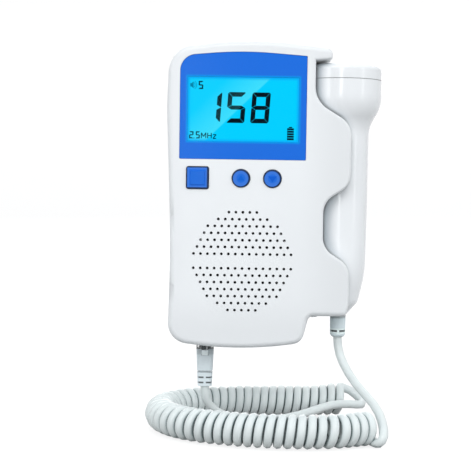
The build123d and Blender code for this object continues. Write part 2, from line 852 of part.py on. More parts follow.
def jack_contacts():
    """Bent wires along the jack's back wall that press on the plug's blades."""
    wall_y = plug_y + plug_depth / 2 + jack_contact_room
    touch_y = plug_y + plug_depth / 2 - blade_recess
    bend_z = plug_top_z - 2.6
    wire = make_face(Polyline(
        (wall_y, plug_top_z), (touch_y, bend_z), (wall_y, bend_z - 5.4), (wall_y, bend_z - 4.6),
        (touch_y + 2 * jack_wire_half, bend_z), (wall_y, plug_top_z - 0.6), close=True))
    return group([Pos(x - jack_wire_half, 0, 0) * extrude(Plane.YZ * wire, amount=2 * jack_wire_half)
                  for x in contact_places()])


def earphone_socket():
    """3.5 mm socket whose collar passes through the bottom wall."""
    shoulder_z = socket_mouth_z + socket_collar
    top = shoulder_z + socket_height
    body = block((socket_x - socket_width / 2, socket_x + socket_width / 2),
                 (socket_y - socket_depth / 2, socket_y + socket_depth / 2), (shoulder_z, top))
    body += post(socket_x, socket_y, socket_collar_radius, socket_mouth_z, shoulder_z)
    return body - post(socket_x, socket_y, socket_bore_radius, socket_mouth_z, top - socket_back)


# ---- Plug of the curly cord
def plug_body():
    """Clear plug with its sprung latch, slots for the contacts and holes for the wires."""
    body = block((jack_x - plug_width / 2, jack_x + plug_width / 2),
                 (plug_y - plug_depth / 2, plug_y + plug_depth / 2),
                 (boot_top_z, plug_top_z))
    body = chamfer(body.edges().group_by(Axis.Z)[-1], 0.4)
    front, back = plug_y - plug_depth / 2, plug_y + plug_depth / 2
    root_z = plug_top_z - 1.2
    tip_z = boot_top_z - latch_tab
    latch = make_face(Polyline(
        (front, root_z), (front - latch_thickness * 0.8, root_z - 1.0),
        (front - latch_thickness - 0.7, jack_mouth_z + 1.5), (front - latch_reach, jack_mouth_z - 1.0),
        (front - latch_reach, tip_z), (front - latch_reach + latch_thickness, tip_z),
        (front - latch_reach + latch_thickness, jack_mouth_z - 0.7),
        (front - 0.6, jack_mouth_z + 1.5), (front - 0.05, root_z - 2.0), (front, root_z - 2.0), close=True))
    body += Pos(jack_x - latch_width / 2, 0, 0) * extrude(Plane.YZ * latch, amount=latch_width)
    for x in contact_places():
        body -= block((x - blade_slot_half, x + blade_slot_half), (back - blade_depth, back + 1),
                      (plug_top_z - 4.4, plug_top_z - 0.8))
        body -= post(x, plug_y + wire_setback, wire_radius + 0.06, boot_top_z - 1, plug_top_z - 1.2)
    return body


def contact_places():
    return [jack_x + (index - (contact_count - 1) / 2) * contact_pitch for index in range(contact_count)]


def plug_contacts():
    """Gold blades that stand between the plug's slots and bite into the wires."""
    back = plug_y + plug_depth / 2
    return group([block((x - blade_half, x + blade_half), (back - blade_depth, back - blade_recess),
                        (plug_top_z - 4.2, plug_top_z - 1.0))
                  for x in contact_places()])


def plug_wires():
    """The cord's four wires inside the clear plug."""
    wires = [post(x, plug_y + wire_setback, wire_radius, boot_top_z, plug_top_z - 1.6)
             for x in contact_places()]
    return group(wires)


def plug_boot():
    """Tapered grey boot with a groove and two rows of flex slots."""
    top = Plane.XY.offset(boot_top_z) * Pos(jack_x, plug_y) * RectangleRounded(
        boot_top_width, boot_top_depth, 1.2)
    tip = Plane.XY.offset(boot_tip_z) * Pos(jack_x, plug_y) * RectangleRounded(
        boot_bottom_width, boot_bottom_depth, 1.8)
    boot = loft(Sketch() + [top, tip])
    for rise in (*boot_slot_rises, boot_groove_rise):
        z = boot_tip_z + rise
        share = rise / boot_length
        half_x = boot_bottom_width / 2 + share * (boot_top_width - boot_bottom_width) / 2 - boot_slot_depth
        half_y = boot_bottom_depth / 2 + share * (boot_top_depth - boot_bottom_depth) / 2 - boot_slot_depth
        ring = block((jack_x - boot_top_width, jack_x + boot_top_width),
                     (plug_y - boot_top_depth, plug_y + boot_top_depth),
                     (z - boot_slot / 2, z + boot_slot / 2))
        ring -= block((jack_x - half_x, jack_x + half_x), (plug_y - half_y, plug_y + half_y),
                      (z - 1, z + 1))
        if rise in boot_slot_rises:
            ring -= block((jack_x - bridge_half, jack_x + bridge_half), (-reach, reach), (z - 1, z + 1))
            ring -= block((-reach, reach), (plug_y - bridge_half, plug_y + bridge_half), (z - 1, z + 1))
        boot -= ring
    return boot


# ---- Probe
def cap_seam():
    """Shadow groove where cap and housing meet."""
    low, high = cap_seam_z - seam_half, cap_seam_z + seam_half
    return post(0, 0, head_radius + 1, low, high) - post(0, 0, head_radius - seam_depth, low, high)


def probe_housing():
    """Handle and lower head in one hollow moulding, open towards the cap."""
    points, radii = probe_profile()
    outside = spun(points, radii)
    inner, inner_radii = probe_profile(-probe_wall, cap_top)
    inside = spun(inner, inner_radii)
    shell = outside & block((-reach, reach), (-reach, reach), (probe_bottom, cap_seam_z))
    shell -= inside & block((-reach, reach), (-reach, reach), (probe_bottom + probe_wall, cap_seam_z + 1))
    flange_z = probe_bottom + probe_wall
    shell -= post(0, 0, relief_radius - relief_neck + 0.1, probe_bottom - 1, flange_z + 1)
    shell -= post(0, 0, relief_flange_radius + 0.1, flange_z, flange_z + relief_flange + 1)
    return Pos(probe_x, probe_y, 0) * (shell - cap_seam())


def probe_cap():
    """Acoustic cap with a spigot that plugs into the housing."""
    points, radii = probe_profile()
    cap = spun(points, radii) & block((-reach, reach), (-reach, reach), (cap_seam_z, cap_top))
    cap -= post(0, 0, head_radius - 2 * probe_wall, cap_seam_z, cap_top - cap_face)
    spigot_radius = head_radius - probe_wall - spigot_clearance
    ring = post(0, 0, spigot_radius, cap_seam_z - spigot_height, cap_seam_z)
    cap += ring - post(0, 0, head_radius - 2 * probe_wall, cap_seam_z - spigot_height, cap_seam_z)
    return Pos(probe_x, probe_y, 0) * (cap - cap_seam())


def piezo_crystals():
    """Two half discs, one that sends and one that listens, under the cap's face."""
    top = cap_top - cap_face
    disc = post(0, 0, crystal_radius, top - crystal_thickness, top)
    halves = disc - block((-crystal_gap / 2, crystal_gap / 2), (-reach, reach), (top - 2, top + 1))
    return group([Pos(probe_x, probe_y, 0) * halves])


def transducer_backing():
    """Soft block that carries the crystals and damps them from behind."""
    radius = head_radius - 2 * probe_wall - 0.2
    block_top = cap_top - cap_face - crystal_thickness
    return Pos(probe_x, probe_y, 0) * post(0, 0, radius, cap_seam_z - spigot_height, block_top)


def probe_board():
    """Narrow amplifier board that stands in the handle."""
    half = handle_foot_radius - probe_wall - 0.4
    neck = block((probe_x - half, probe_x + half), (probe_y - probe_board_half, probe_y + probe_board_half),
                 (handle_taper_z, cap_seam_z - spigot_height))
    return fillet(neck.edges().filter_by(Axis.Y), 1.0)


def probe_strain_relief():
    """Rubber sleeve with flex slots, held by a flange inside the handle."""
    flange_z = probe_bottom + probe_wall
    neck = relief_radius - relief_neck
    body = post(0, 0, neck, probe_bottom, flange_z)
    body += post(0, 0, relief_flange_radius, flange_z + 0.02, flange_z + relief_flange)
    body += post(0, 0, neck, flange_z - 0.1, flange_z + 0.2)
    sleeve = [(0, 0), (relief_radius, 0), (relief_radius - 0.1, -relief_length + 1.0),
              (relief_radius - 0.9, -relief_length), (0, -relief_length)]
    line = FilletPolyline(*sleeve, radius=[0, 0.6, 0.3])
    half = make_face(Plane.XZ * Wire(line.edges() + [Edge.make_line(line @ 1, line @ 0)]))
    body += Pos(0, 0, probe_bottom) * revolve(half, axis=Axis.Z)
    slot_z = probe_bottom - relief_length + relief_slot_rise
    low, high = slot_z - relief_slot_half, slot_z + relief_slot_half
    ring = post(0, 0, relief_radius + 1, low, high) - post(0, 0, neck, low, high)
    for angle in (0, 90):
        ring -= Rot(0, 0, angle) * block((-bridge_half, bridge_half), (-reach, reach), (low, high))
    body -= ring
    return Pos(probe_x, probe_y, 0) * body


# ---- Screws
def case_screws():
    """Self-tapping screws that clamp the two shells."""
    screws = []
    for x, z in screw_places:
        head = rod(x, z, screw_head_radius, screw_seat_y, screw_seat_y + screw_head)
        head = chamfer(edges_at(head, screw_seat_y + screw_head), 0.5)
        screw = head + rod(x, z, screw_shank_radius, screw_seat_y - screw_length, screw_seat_y)
        for half_x, half_z in ((screw_cross, screw_cross_half), (screw_cross_half, screw_cross)):
            screw -= block((x - half_x, x + half_x), (screw_seat_y + screw_head - screw_cross_depth, 0),
                           (z - half_z, z + half_z))
        screws.append(screw)
    return group(screws)


nodes = {
    "front_shell": front_shell(),
    "rear_shell": rear_shell(),
    "case_screws": case_screws(),
    "battery_door": battery_door(),
    "battery_cell_left": battery_cell(-1),
    "battery_cell_right": battery_cell(1),
    "battery_contacts": battery_contacts(),
    "display_panel": display_panel(),
    "lcd_glass": lcd_glass(),
    "lcd_backlight": lcd_backlight(),
    "lcd_holder": lcd_holder(),
    "main_board": main_board(),
    "tact_switches": tact_switches(),
    "power_key": key(0),
    "up_key": key(1),
    "down_key": key(2),
    "speaker_frame": speaker_frame(),
    "speaker_cone": speaker_cone(),
    "speaker_magnet": speaker_magnet(),
    "speaker_gasket": speaker_gasket(),
    "modular_jack": modular_jack(),
    "jack_contacts": jack_contacts(),
    "earphone_socket": earphone_socket(),
    "plug_body": plug_body(),
    "plug_contacts": plug_contacts(),
    "plug_wires": plug_wires(),
    "plug_boot": plug_boot(),
    "probe_housing": probe_housing(),
    "probe_cap": probe_cap(),
    "piezo_crystals": piezo_crystals(),
    "transducer_backing": transducer_backing(),
    "probe_board": probe_board(),
    "probe_strain_relief": probe_strain_relief(),
    "cord_plug_tail": cord_tube(plug_tail_route, cord_diameter, "cord_plug_tail"),
    "coiled_cord": cord_tube(coil_route, coil_diameter, "coiled_cord"),
    "cord_probe_tail": cord_tube(probe_tail_route, cord_diameter, "cord_probe_tail"),
}

for name, solid in nodes.items():
    export_step(solid, f"parts/{name}.step")
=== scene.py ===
import json
import math

import bpy
from mathutils import Matrix, Vector


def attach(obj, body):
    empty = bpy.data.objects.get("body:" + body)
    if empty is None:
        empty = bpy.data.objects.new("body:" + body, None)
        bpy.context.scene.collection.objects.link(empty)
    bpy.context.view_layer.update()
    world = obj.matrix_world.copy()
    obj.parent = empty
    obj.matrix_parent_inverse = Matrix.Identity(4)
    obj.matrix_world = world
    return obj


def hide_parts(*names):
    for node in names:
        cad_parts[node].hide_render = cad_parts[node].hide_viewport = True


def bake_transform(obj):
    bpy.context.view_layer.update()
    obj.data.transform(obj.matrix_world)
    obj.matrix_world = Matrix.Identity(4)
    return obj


# Dresses the solids of the fetal doppler monitor. It winds the curly cord, gives every node its finish, adds
# the display's signs and the keys' triangles, and sets the camera and the light as in the photograph.

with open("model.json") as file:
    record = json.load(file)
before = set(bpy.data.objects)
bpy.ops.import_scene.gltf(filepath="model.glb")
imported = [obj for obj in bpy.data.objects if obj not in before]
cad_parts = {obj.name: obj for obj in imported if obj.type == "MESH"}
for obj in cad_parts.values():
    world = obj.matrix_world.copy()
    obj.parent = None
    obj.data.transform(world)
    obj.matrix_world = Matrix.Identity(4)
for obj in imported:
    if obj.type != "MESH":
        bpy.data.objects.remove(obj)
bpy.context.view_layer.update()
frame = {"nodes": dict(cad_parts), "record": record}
nodes = frame["nodes"]
slot_colors = {m["slot"]: tuple(m["base_color"][:3]) for m in frame["record"]["materials"]}

MM = 0.001                       # the CAD's sizes are in millimetres, the scene's in metres
X, Y, Z = range(3)

# ---- Places taken over from the CAD, in millimetres
GLASS_Y = -32.65                 # front face of the display
KEY_FRONT_Y = -35.8              # front faces of the keys
FLOOR_Z = -103.4                 # surface that the curly cord lies on
WINDOW = (-24.5, 22.9, 23.5, 50.7)       # left, bottom, right and top of the display window
POWER_KEY = (-19.7, 7.3)         # the keys' middles, as x and z
UP_KEY = (-1.05, 7.3)
DOWN_KEY = (12.45, 7.3)
PROBE_MIDDLE = (43.1, -17.5)     # the probe's and the plug's middles, as x and y
PLUG_MIDDLE = (-15.8, -17.5)
BOOT_TIP = (*PLUG_MIDDLE, -85.2)
RELIEF_TIP = (*PROBE_MIDDLE, -62.4)


def metres(point):
    return Vector(point) * MM


# ======== Camera, fitted to the photograph
IMAGE_SIZE = 471.0               # the photograph is a square of this many pixels
FOCAL_PIXELS = 1200.0
SENSOR_WIDTH = 36.0
CAMERA_PLACE = (-3.03, -550.5, 5.2)
CAMERA_PITCH = math.radians(2.5)
CAMERA_ROLL = math.radians(0.85)
NEAREST_SEEN = 0.01


def add_camera():
    """Camera at the photograph's place, pitched down and slightly rolled."""
    data = bpy.data.cameras.new("camera")
    data.sensor_width = SENSOR_WIDTH
    data.lens = FOCAL_PIXELS / IMAGE_SIZE * SENSOR_WIDTH
    data.clip_start = NEAREST_SEEN
    camera = bpy.data.objects.new("camera", data)
    forward = Vector((0, math.cos(CAMERA_PITCH), -math.sin(CAMERA_PITCH)))
    level = Vector((1, 0, 0))
    above = level.cross(forward)
    right = math.cos(CAMERA_ROLL) * level + math.sin(CAMERA_ROLL) * above
    up = right.cross(forward)
    turn = Matrix((right, up, -forward)).transposed().to_4x4()
    camera.matrix_world = Matrix.Translation(metres(CAMERA_PLACE)) @ turn
    bpy.context.collection.objects.link(camera)
    bpy.context.scene.camera = camera


add_camera()

# ======== Curly cord: the routes of part.py, moved a little to follow the photograph, and the turns
CORD_DIAMETER = 3.8
SMOOTH_ORDER = 3                 # of the cord's splines
TUBE_STEPS = 2                   # points of the drawn tube from one control point to the next
TUBE_BEVEL = 2                   # bevel resolution that makes the tube eight-sided
TUBE_FULLNESS = 1.035            # gives the eight-sided tube the round cord's mean thickness
LINE_STEPS = 24                  # points of the coil's line from one of its points to the next
TURN_RADIUS = 5.3                # of the helix of control points; the cord's middle runs just inside it
TURN_LIFT = 0.2                  # the turns sit this far above the middle of the CAD's tube
FIRST_TURN_RADIUS = 6.0          # the turns beside the plug's tail are opened up
FIRST_TURNS = 2.0
TURN_PITCH = 3.93
TURN_CONTACT = 3.8               # pitch at the inside of a bend, where the turns touch
SHARPEST_BEND = 0.5              # turn radius over bend radius; past this the pitch grows no more
POINTS_PER_TURN = 16
START_ANGLE = math.radians(100)  # seen along the coil, from the far side over the top
END_ANGLE = math.radians(-65)
COIL_Z = FLOOR_Z + 7.0

PLUG_TAIL = [
    BOOT_TIP,
    (*PLUG_MIDDLE, -91.5),
    (-12.0, -14.0, -96.5),
    (-6.0, -12.0, -100.6),
    (5.0, -12.6, -101.4),
    (21.0, -11.0, -101.4),
    (33.5, -4.0, -98.7),
    (43.0, 0.3, -96.2),
    (51.5, 1.8, -96.2),
    (57.6, 4.6, -97.3),
    (57.0, 10.4, -95.4),
    (52.2, 11.5, -91.4),
    (48.8, 11.5, -90.4),
]
COIL = [
    (46.8, 11.3, COIL_Z + 1.0),  # the turns begin short of the solid tube's first end
    (38.0, 10.2, COIL_Z),
    (26.0, 9.3, COIL_Z),
    (5.0, 7.6, COIL_Z),
    (-13.0, 3.6, COIL_Z),
    (-28.0, -5.5, COIL_Z),
    (-35.8, -21.0, COIL_Z),
    (-32.3, -38.5, COIL_Z),
    (-20.5, -51.5, COIL_Z),
    (-3.5, -59.3, COIL_Z),
    (15.0, -63.2, COIL_Z),
    (31.5, -62.8, COIL_Z),
    (42.5, -60.0, COIL_Z),
    (54.7, -52.8, COIL_Z),       # and run past its second end, up to the probe's tail
]
PROBE_TAIL = [
    (54.7, -55.9, -101.4),
    (57.4, -60.3, -101.4),
    (59.6, -60.3, -98.6),
    (59.6, -53.0, -93.5),
    (57.6, -43.0, -88.4),
    (50.8, -28.0, -82.6),
    (45.4, -20.2, -74.2),
    (*PROBE_MIDDLE, -66.8),
    RELIEF_TIP,
]


def nurbs(name, points, steps):
    """Curve object of one open NURBS spline with these control points, in millimetres."""
    data = bpy.data.curves.new(name, "CURVE")
    data.dimensions = "3D"
    data.resolution_u = steps
    spline = data.splines.new("NURBS")
    spline.points.add(len(points) - 1)
    for target, point in zip(spline.points, points):
        target.co = (*metres(point), 1.0)
    spline.order_u = SMOOTH_ORDER
    spline.use_endpoint_u = True
    return bpy.data.objects.new(name, data)


def points_along(curve):
    """The points that Blender draws along a curve, in metres."""
    mesh = bpy.data.meshes.new_from_object(curve)
    points = [vertex.co.copy() for vertex in mesh.vertices]
    bpy.data.meshes.remove(mesh)
    return points


def wound_angles(line):
    """Angle wound up to each point of the coil's line; the turns fan out round a bend."""
    angles = [0.0]
    for i in range(1, len(line)):
        before, here, after = line[i - 1], line[i], line[min(i + 1, len(line) - 1)]
        step = (here - before).length
        turn = (here - before).angle(after - here, 0.0) if i + 1 < len(line) else 0.0
        bend = min(turn / step * TURN_RADIUS * MM, SHARPEST_BEND)
        pitch = max(TURN_PITCH, TURN_CONTACT / (1 - bend)) * MM
        angles.append(angles[-1] + 2 * math.pi * step / pitch)
    return angles


def coil_turns():
    """Control points of the left-handed turns round the coil's line."""
    line = points_along(nurbs("coil_line", COIL, LINE_STEPS))
    angles = wound_angles(line)
    up = Vector((0, 0, 1))
    # The turns are stretched or squeezed a little, so that the last one ends at its angle.
    sweep = END_ANGLE - START_ANGLE
    whole = round((angles[-1] - sweep) / (2 * math.pi)) * 2 * math.pi + sweep
    count = round(whole / (2 * math.pi) * POINTS_PER_TURN)
    points = []
    i = 0
    for k in range(count + 1):
        wound = angles[-1] * k / count
        while i + 2 < len(line) and angles[i + 1] < wound:
            i += 1
        share = (wound - angles[i]) / (angles[i + 1] - angles[i])
        middle = line[i].lerp(line[i + 1], share) / MM + TURN_LIFT * up
        # The line starts towards -X, so this is its far side, from which the angles count.
        out = (line[i + 1] - line[i]).cross(up).normalized()
        angle = START_ANGLE + whole * k / count
        opened = max(1 - k / (FIRST_TURNS * POINTS_PER_TURN), 0.0)
        radius = TURN_RADIUS + (FIRST_TURN_RADIUS - TURN_RADIUS) * opened
        points.append(middle + radius * (out * math.cos(angle) + up * math.sin(angle)))
    return points


def add_cord():
    """The whole curly cord on one spline, as a tube that bends at the probe's tail."""
    controls = [Vector(p) for p in PLUG_TAIL] + coil_turns() + [Vector(p) for p in PROBE_TAIL]
    curve = nurbs("curly_cord_line", controls, TUBE_STEPS)
    path = points_along(curve)
    curve.data.bevel_depth = CORD_DIAMETER / 2 * TUBE_FULLNESS * MM
    curve.data.bevel_resolution = TUBE_BEVEL
    curve.data.use_fill_caps = True
    cord = bpy.data.objects.new("curly_cord", bpy.data.meshes.new_from_object(curve))
    bpy.context.collection.objects.link(cord)
    for polygon in cord.data.polygons:
        polygon.use_smooth = True
    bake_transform(cord)
    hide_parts("cord_plug_tail", "coiled_cord", "cord_probe_tail")
    return cord


cord = add_cord()

# ======== Shader nodes
MIX_SHARE, MIX_FIRST, MIX_SECOND, MIX_RESULT = 0, 6, 7, 2    # sockets of a Mix node for colours
NOISE_RANGE = (0.3, 0.7)         # most of a noise lies between these values
OCCLUSION_SAMPLES = 8


def opaque(color):
    """A colour with full alpha; a socket stays as it is."""
    return color if isinstance(color, bpy.types.NodeSocket) else (*color, 1.0)


def add_node(tree, kind, inputs=None, **settings):
    """A node with its settings, and its inputs set or linked by name or number."""
    node = tree.nodes.new(kind)
    for key, value in settings.items():
        setattr(node, key, value)
    for key, value in (inputs or {}).items():
        if isinstance(value, bpy.types.NodeSocket):
            tree.links.new(value, node.inputs[key])
        else:
            node.inputs[key].default_value = value
    return node


def mix_colors(tree, share, first, second):
    inputs = {MIX_SHARE: share, MIX_FIRST: opaque(first), MIX_SECOND: opaque(second)}
    return add_node(tree, "ShaderNodeMix", inputs, data_type="RGBA").outputs[MIX_RESULT]


def shade(color, *factors):
    """Color times one factor, or times one factor for each channel."""
    factors = factors * 3 if len(factors) == 1 else factors
    return tuple(min(channel * factor, 1.0) for channel, factor in zip(color, factors))


class Shader:
    """The node tree of one material, with its Principled shader."""

    def __init__(self, name):
        self.material = bpy.data.materials.new(name)
        self.material.use_nodes = True
        self.tree = self.material.node_tree
        self.principled = self.tree.nodes["Principled BSDF"]
        self.place = self.node("ShaderNodeTexCoord").outputs["Object"]

    def node(self, kind, inputs=None, **settings):
        return add_node(self.tree, kind, inputs, **settings)

    def maths(self, operation, first, second=0.0, third=0.0):
        node = self.node("ShaderNodeMath", {0: first, 1: second, 2: third}, operation=operation)
        return node.outputs[0]

    def noise(self, waves, detail=2.0, stretch=None):
        """Noise with this many waves per metre, stretched along the axes if asked."""
        place = self.place
        if stretch:
            place = self.node("ShaderNodeMapping", {"Vector": place, "Scale": stretch}).outputs[0]
        inputs = {"Vector": place, "Scale": waves, "Detail": detail}
        return self.node("ShaderNodeTexNoise", inputs).outputs["Fac"]

    def ramp(self, value, low, high, low_out=0.0, high_out=1.0, smooth=False):
        """Value brought from one range into another."""
        inputs = {"Value": value, "From Min": low, "From Max": high, "To Min": low_out, "To Max": high_out}
        kind = "SMOOTHSTEP" if smooth else "LINEAR"
        return self.node("ShaderNodeMapRange", inputs, interpolation_type=kind).outputs[0]

    def uneven(self, noise, low, high):
        """A value that wanders from low to high with this noise."""
        return self.ramp(noise, *NOISE_RANGE, low, high)

    def within(self, value, limit, softness):
        """1 up to a limit, falling to 0 over the softness beyond it."""
        return self.ramp(value, limit, limit + softness, 1.0, 0.0)

    def mix(self, share, first, second):
        return mix_colors(self.tree, share, first, second)

    def axis(self, index):
        """One coordinate of the place, in millimetres."""
        parts = self.node("ShaderNodeSeparateXYZ", {0: self.place})
        return self.maths("MULTIPLY", parts.outputs[index], 1 / MM)

    def away(self, index, middle):
        """Distance along one axis from a place on it, in millimetres."""
        return self.maths("ABSOLUTE", self.maths("SUBTRACT", self.axis(index), middle))

    def radius(self, first_axis, second_axis, middle):
        """Distance in the plane of two axes from its point middle, in millimetres."""
        first = self.maths("SUBTRACT", self.axis(first_axis), middle[0])
        second = self.maths("SUBTRACT", self.axis(second_axis), middle[1])
        squares = self.maths("MULTIPLY_ADD", first, first, self.maths("MULTIPLY", second, second))
        return self.maths("SQRT", squares)

    def set(self, **inputs):
        """Values or links for the shader's inputs; underscores stand for spaces."""
        for key, value in inputs.items():
            socket = self.principled.inputs[key.replace("_", " ")]
            if isinstance(value, bpy.types.NodeSocket):
                self.tree.links.new(value, socket)
            else:
                socket.default_value = opaque(value) if key.endswith("Color") else value

    def occlusion_shade(self, color, reach, dark, low=0.25, high=0.85):
        """Color with painted shade where other surfaces stand round the place, within a reach in
        millimetres.
        """
        around = self.node("ShaderNodeAmbientOcclusion", {"Distance": reach * MM}, samples=OCCLUSION_SAMPLES)
        return self.mix(self.ramp(around.outputs["AO"], low, high), dark, color)

    def bump(self, height, depth):
        """Bump from a height between 0 and 1 that stands for this depth in millimetres."""
        inputs = {"Height": height, "Distance": depth * MM}
        self.set(Normal=self.node("ShaderNodeBump", inputs).outputs[0])


# ---- Shares of a surface: 1 inside a region, 0 outside it, with soft edges
def band_share(shader, low, high, softness=0.2):
    """Between two heights."""
    z = shader.axis(Z)
    return shader.maths("MULTIPLY", shader.ramp(z, low - softness, low + softness, smooth=True),
                        shader.ramp(z, high + softness, high - softness, smooth=True))


def box_share(shader, box, border, softness):
    """Inside an XZ box less a border."""
    left, bottom, right, top = box
    x, z = shader.axis(X), shader.axis(Z)
    edges = (
        (x, left + border - softness, left + border),
        (x, right - border + softness, right - border),
        (z, bottom + border - softness, bottom + border),
        (z, top - border + softness, top - border),
    )
    share = 1.0
    for value, outside, inside in edges:
        side = shader.ramp(value, outside, inside, smooth=True)
        share = shader.maths("MULTIPLY", share, side)
    return share


def square_share(shader, middle, half, softness):
    """Inside a square in the XZ plane."""
    x, z = middle
    return box_share(shader, (x - half, z - half, x + half, z + half), -softness, softness)


def disc_share(shader, middle, radius, softness):
    """Inside a circle in the XZ plane."""
    return shader.ramp(shader.radius(X, Z, middle), radius + softness, radius, smooth=True)


# ======== Mouldings: casing, probe and what sits inside
CASING_LIT_MIDDLE = (-22.0, -40.0, 22.0, 52.0)   # painted light: the front's palest part
CASING_FALL = 20.0               # width over which the painted light falls off into painted shade at the edges


def moulded(name, color, roughness, grain_depth=0.012, drift=0.03, tone=None, **settings):
    """Moulded plastic: a fine spark-eroded skin, uneven gloss and a slight drift of colour.

    An optional function paints light and shade into the colour in places.
    """
    shader = Shader(name)
    cloud = shader.noise(waves=22.0)
    skin = shader.noise(waves=1600.0, detail=3.0)
    paint = shader.mix(cloud, shade(color, 1 - drift), shade(color, 1 + drift))
    if tone:
        paint = tone(shader, paint, color)
    shader.set(Base_Color=paint, **settings,
               Roughness=shader.uneven(shader.noise(waves=90.0), roughness - 0.05, roughness + 0.06))
    shader.bump(skin, grain_depth)
    return shader.material


def casing_painted_shade(shader, paint, color):
    """Casing: painted shade, a little greyer towards its edges and dark in narrow gaps."""
    middle = box_share(shader, CASING_LIT_MIDDLE, border=0.0, softness=CASING_FALL)
    paint = shader.mix(middle, shade(color, 0.92), paint)
    return shader.occlusion_shade(paint, reach=1.3, dark=shade(color, 0.3))


def probe_painted_shade(shader, paint, color):
    """Probe: painted shade where it sits in the holster, and in narrow gaps."""
    paint = shader.occlusion_shade(paint, reach=7.0, dark=shade(color, 0.62, 0.66, 0.68), low=0.3)
    return shader.occlusion_shade(paint, reach=1.8, dark=shade(color, 0.35))


# ======== Rubber and vinyl: cord, probe's sleeve and plug's boot
RELIEF_NECK = 2.4                # radius at the bottom of the sleeve's slots
RELIEF_SLOT_SHADE = 0.15          # painted shade fills the slots up to this height above their bottom
# painted highlight round the slots, between these heights
RELIEF_HIGHLIGHT_BAND = (-60.9, -58.6)
RELIEF_HEEL_SHADOW = (-54.6, -53.2)    # painted shadow: the sleeve darkens between these heights, under the heel

BOOT_SHADED_TOP = -71.0                 # above this the boot is greyer with painted shade from the casing
BOOT_LIGHT_RISE = (-72.0, -80.0)  # its painted shade lifts between these heights, to a paler tip
# painted shade in the groove, between these heights
BOOT_GROOVE = (-79.2, -78.2)
# painted shade fills the slots' bottoms at these heights
BOOT_SLOT_LEVELS = ((-84.1, -83.1), (-81.8, -80.8))
BOOT_SLOT_HALF = (2.6, 2.05)     # half sizes of the slots' bottom, along x and y
LATCH_SHADOW_LINE = (-71.4, -70.9)      # painted shadow line below the latch tab
LATCH_HALF_WIDTH = 1.5


def rubber(name, color, roughness, grain_depth=0.02, tone=None):
    """Soft moulded rubber or vinyl with a faint bloom; an optional function paints light and shade into its
    colour in places.
    """
    shader = Shader(name)
    bloom = shader.noise(waves=140.0, detail=4.0)
    skin = shader.mix(bloom, shade(color, 0.94), shade(color, 1.05))
    if tone:
        skin = tone(shader, skin, color)
    shader.set(Base_Color=skin, Roughness=shader.uneven(bloom, roughness - 0.06, roughness + 0.08),
               Sheen_Weight=0.12, Sheen_Roughness=0.5)
    shader.bump(shader.noise(waves=1100.0, detail=3.0), grain_depth)
    return shader.material


def cord_painted_shade(shader, skin, color):
    """Cord: painted shade between its turns."""
    return shader.occlusion_shade(skin, reach=2.6, dark=shade(color, 0.12, 0.21, 0.22), low=0.18, high=0.66)


def sleeve_painted_light(shader, skin, color):
    """Probe's sleeve: painted shade at the bottom of its slots and in narrow gaps, a painted shadow under
    the heel, and a painted highlight round the slots.
    """
    radius = shader.radius(X, Y, PROBE_MIDDLE)
    # Painted shade in the slots, a painted highlight round them and a painted shadow under the heel.
    slots = shader.within(radius, RELIEF_NECK + RELIEF_SLOT_SHADE, 0.3)
    skin = shader.mix(band_share(shader, *RELIEF_HIGHLIGHT_BAND), skin, shade(color, 1.2))
    skin = shader.mix(slots, skin, shade(color, 0.1))
    heel_shadow = shader.ramp(shader.axis(Z), *RELIEF_HEEL_SHADOW, smooth=True)
    skin = shader.mix(heel_shadow, skin, shade(color, 0.42))
    return shader.occlusion_shade(skin, reach=4.0, dark=shade(color, 0.2), low=0.1, high=0.9)


def boot_painted_shade(shader, skin, color):
    """Plug's boot: painted shade on its top, lifting to a paler tip, and painted shade in its groove, its
    slots, narrow gaps and a line below the latch tab.
    """
    z = shader.axis(Z)
    # Painted shade under the casing, lifting towards the tip, and painted shade in the groove.
    tip_light = shader.ramp(z, *BOOT_LIGHT_RISE, smooth=True)
    skin = shader.mix(tip_light, skin, shade(color, 1.05))
    skin = shader.mix(band_share(shader, *BOOT_GROOVE, 0.1), skin, shade(color, 0.8))
    skin = shader.mix(shader.ramp(z, BOOT_SHADED_TOP - 0.5, BOOT_SHADED_TOP + 0.5), skin, shade(color, 0.8))
    away_x = shader.away(X, PLUG_MIDDLE[X])
    away_y = shader.away(Y, PLUG_MIDDLE[Y])
    # Painted shadow line below the latch tab, then painted shade in the slots' bottoms.
    latch_shadow = shader.maths("MULTIPLY", band_share(shader, *LATCH_SHADOW_LINE, 0.15),
                              shader.within(away_x, LATCH_HALF_WIDTH, 0.3))
    skin = shader.mix(latch_shadow, skin, shade(color, 0.45))
    levels = 0.0
    for low, high in BOOT_SLOT_LEVELS:
        above = shader.maths("GREATER_THAN", z, low)
        below = shader.maths("LESS_THAN", z, high)
        levels = shader.maths("MULTIPLY_ADD", above, below, levels)
    bottom = shader.maths("MULTIPLY", shader.within(away_x, BOOT_SLOT_HALF[X], 0.15),
                          shader.within(away_y, BOOT_SLOT_HALF[Y], 0.15))
    skin = shader.mix(shader.maths("MULTIPLY", levels, bottom), skin, shade(color, 0.16))
    return shader.occlusion_shade(skin, reach=0.7, dark=shade(color, 0.35))


# ======== Metal, circuit board and cells
DRAWN = (1.0, 1.0, 14.0)         # stretch of the fine lines in drawn metal
PRINTED = (1.0, 1.0, 8.0)        # and of the grain in a cell's print
TRACK_EDGE = (0.28, 0.34)        # the tracks rise between these distances from a pad's middle
PAD_RADIUS = 0.1
TIN = (0.6, 0.6, 0.58)
COPPER = (0.55, 0.25, 0.09)
COPPER_RISE = (-18.2, -17.8)     # the cells turn from dark to copper between these heights


def metal(name, color, roughness=0.28):
    """Plated metal with fine drawn lines."""
    shader = Shader(name)
    lines = shader.noise(waves=420.0, detail=5.0, stretch=DRAWN)
    shader.set(Base_Color=shader.mix(lines, shade(color, 0.86), shade(color, 1.08)), Metallic=1.0,
               Roughness=shader.ramp(lines, 0.25, 0.75, roughness - 0.08, roughness + 0.14))
    shader.bump(lines, 0.01)
    return shader.material


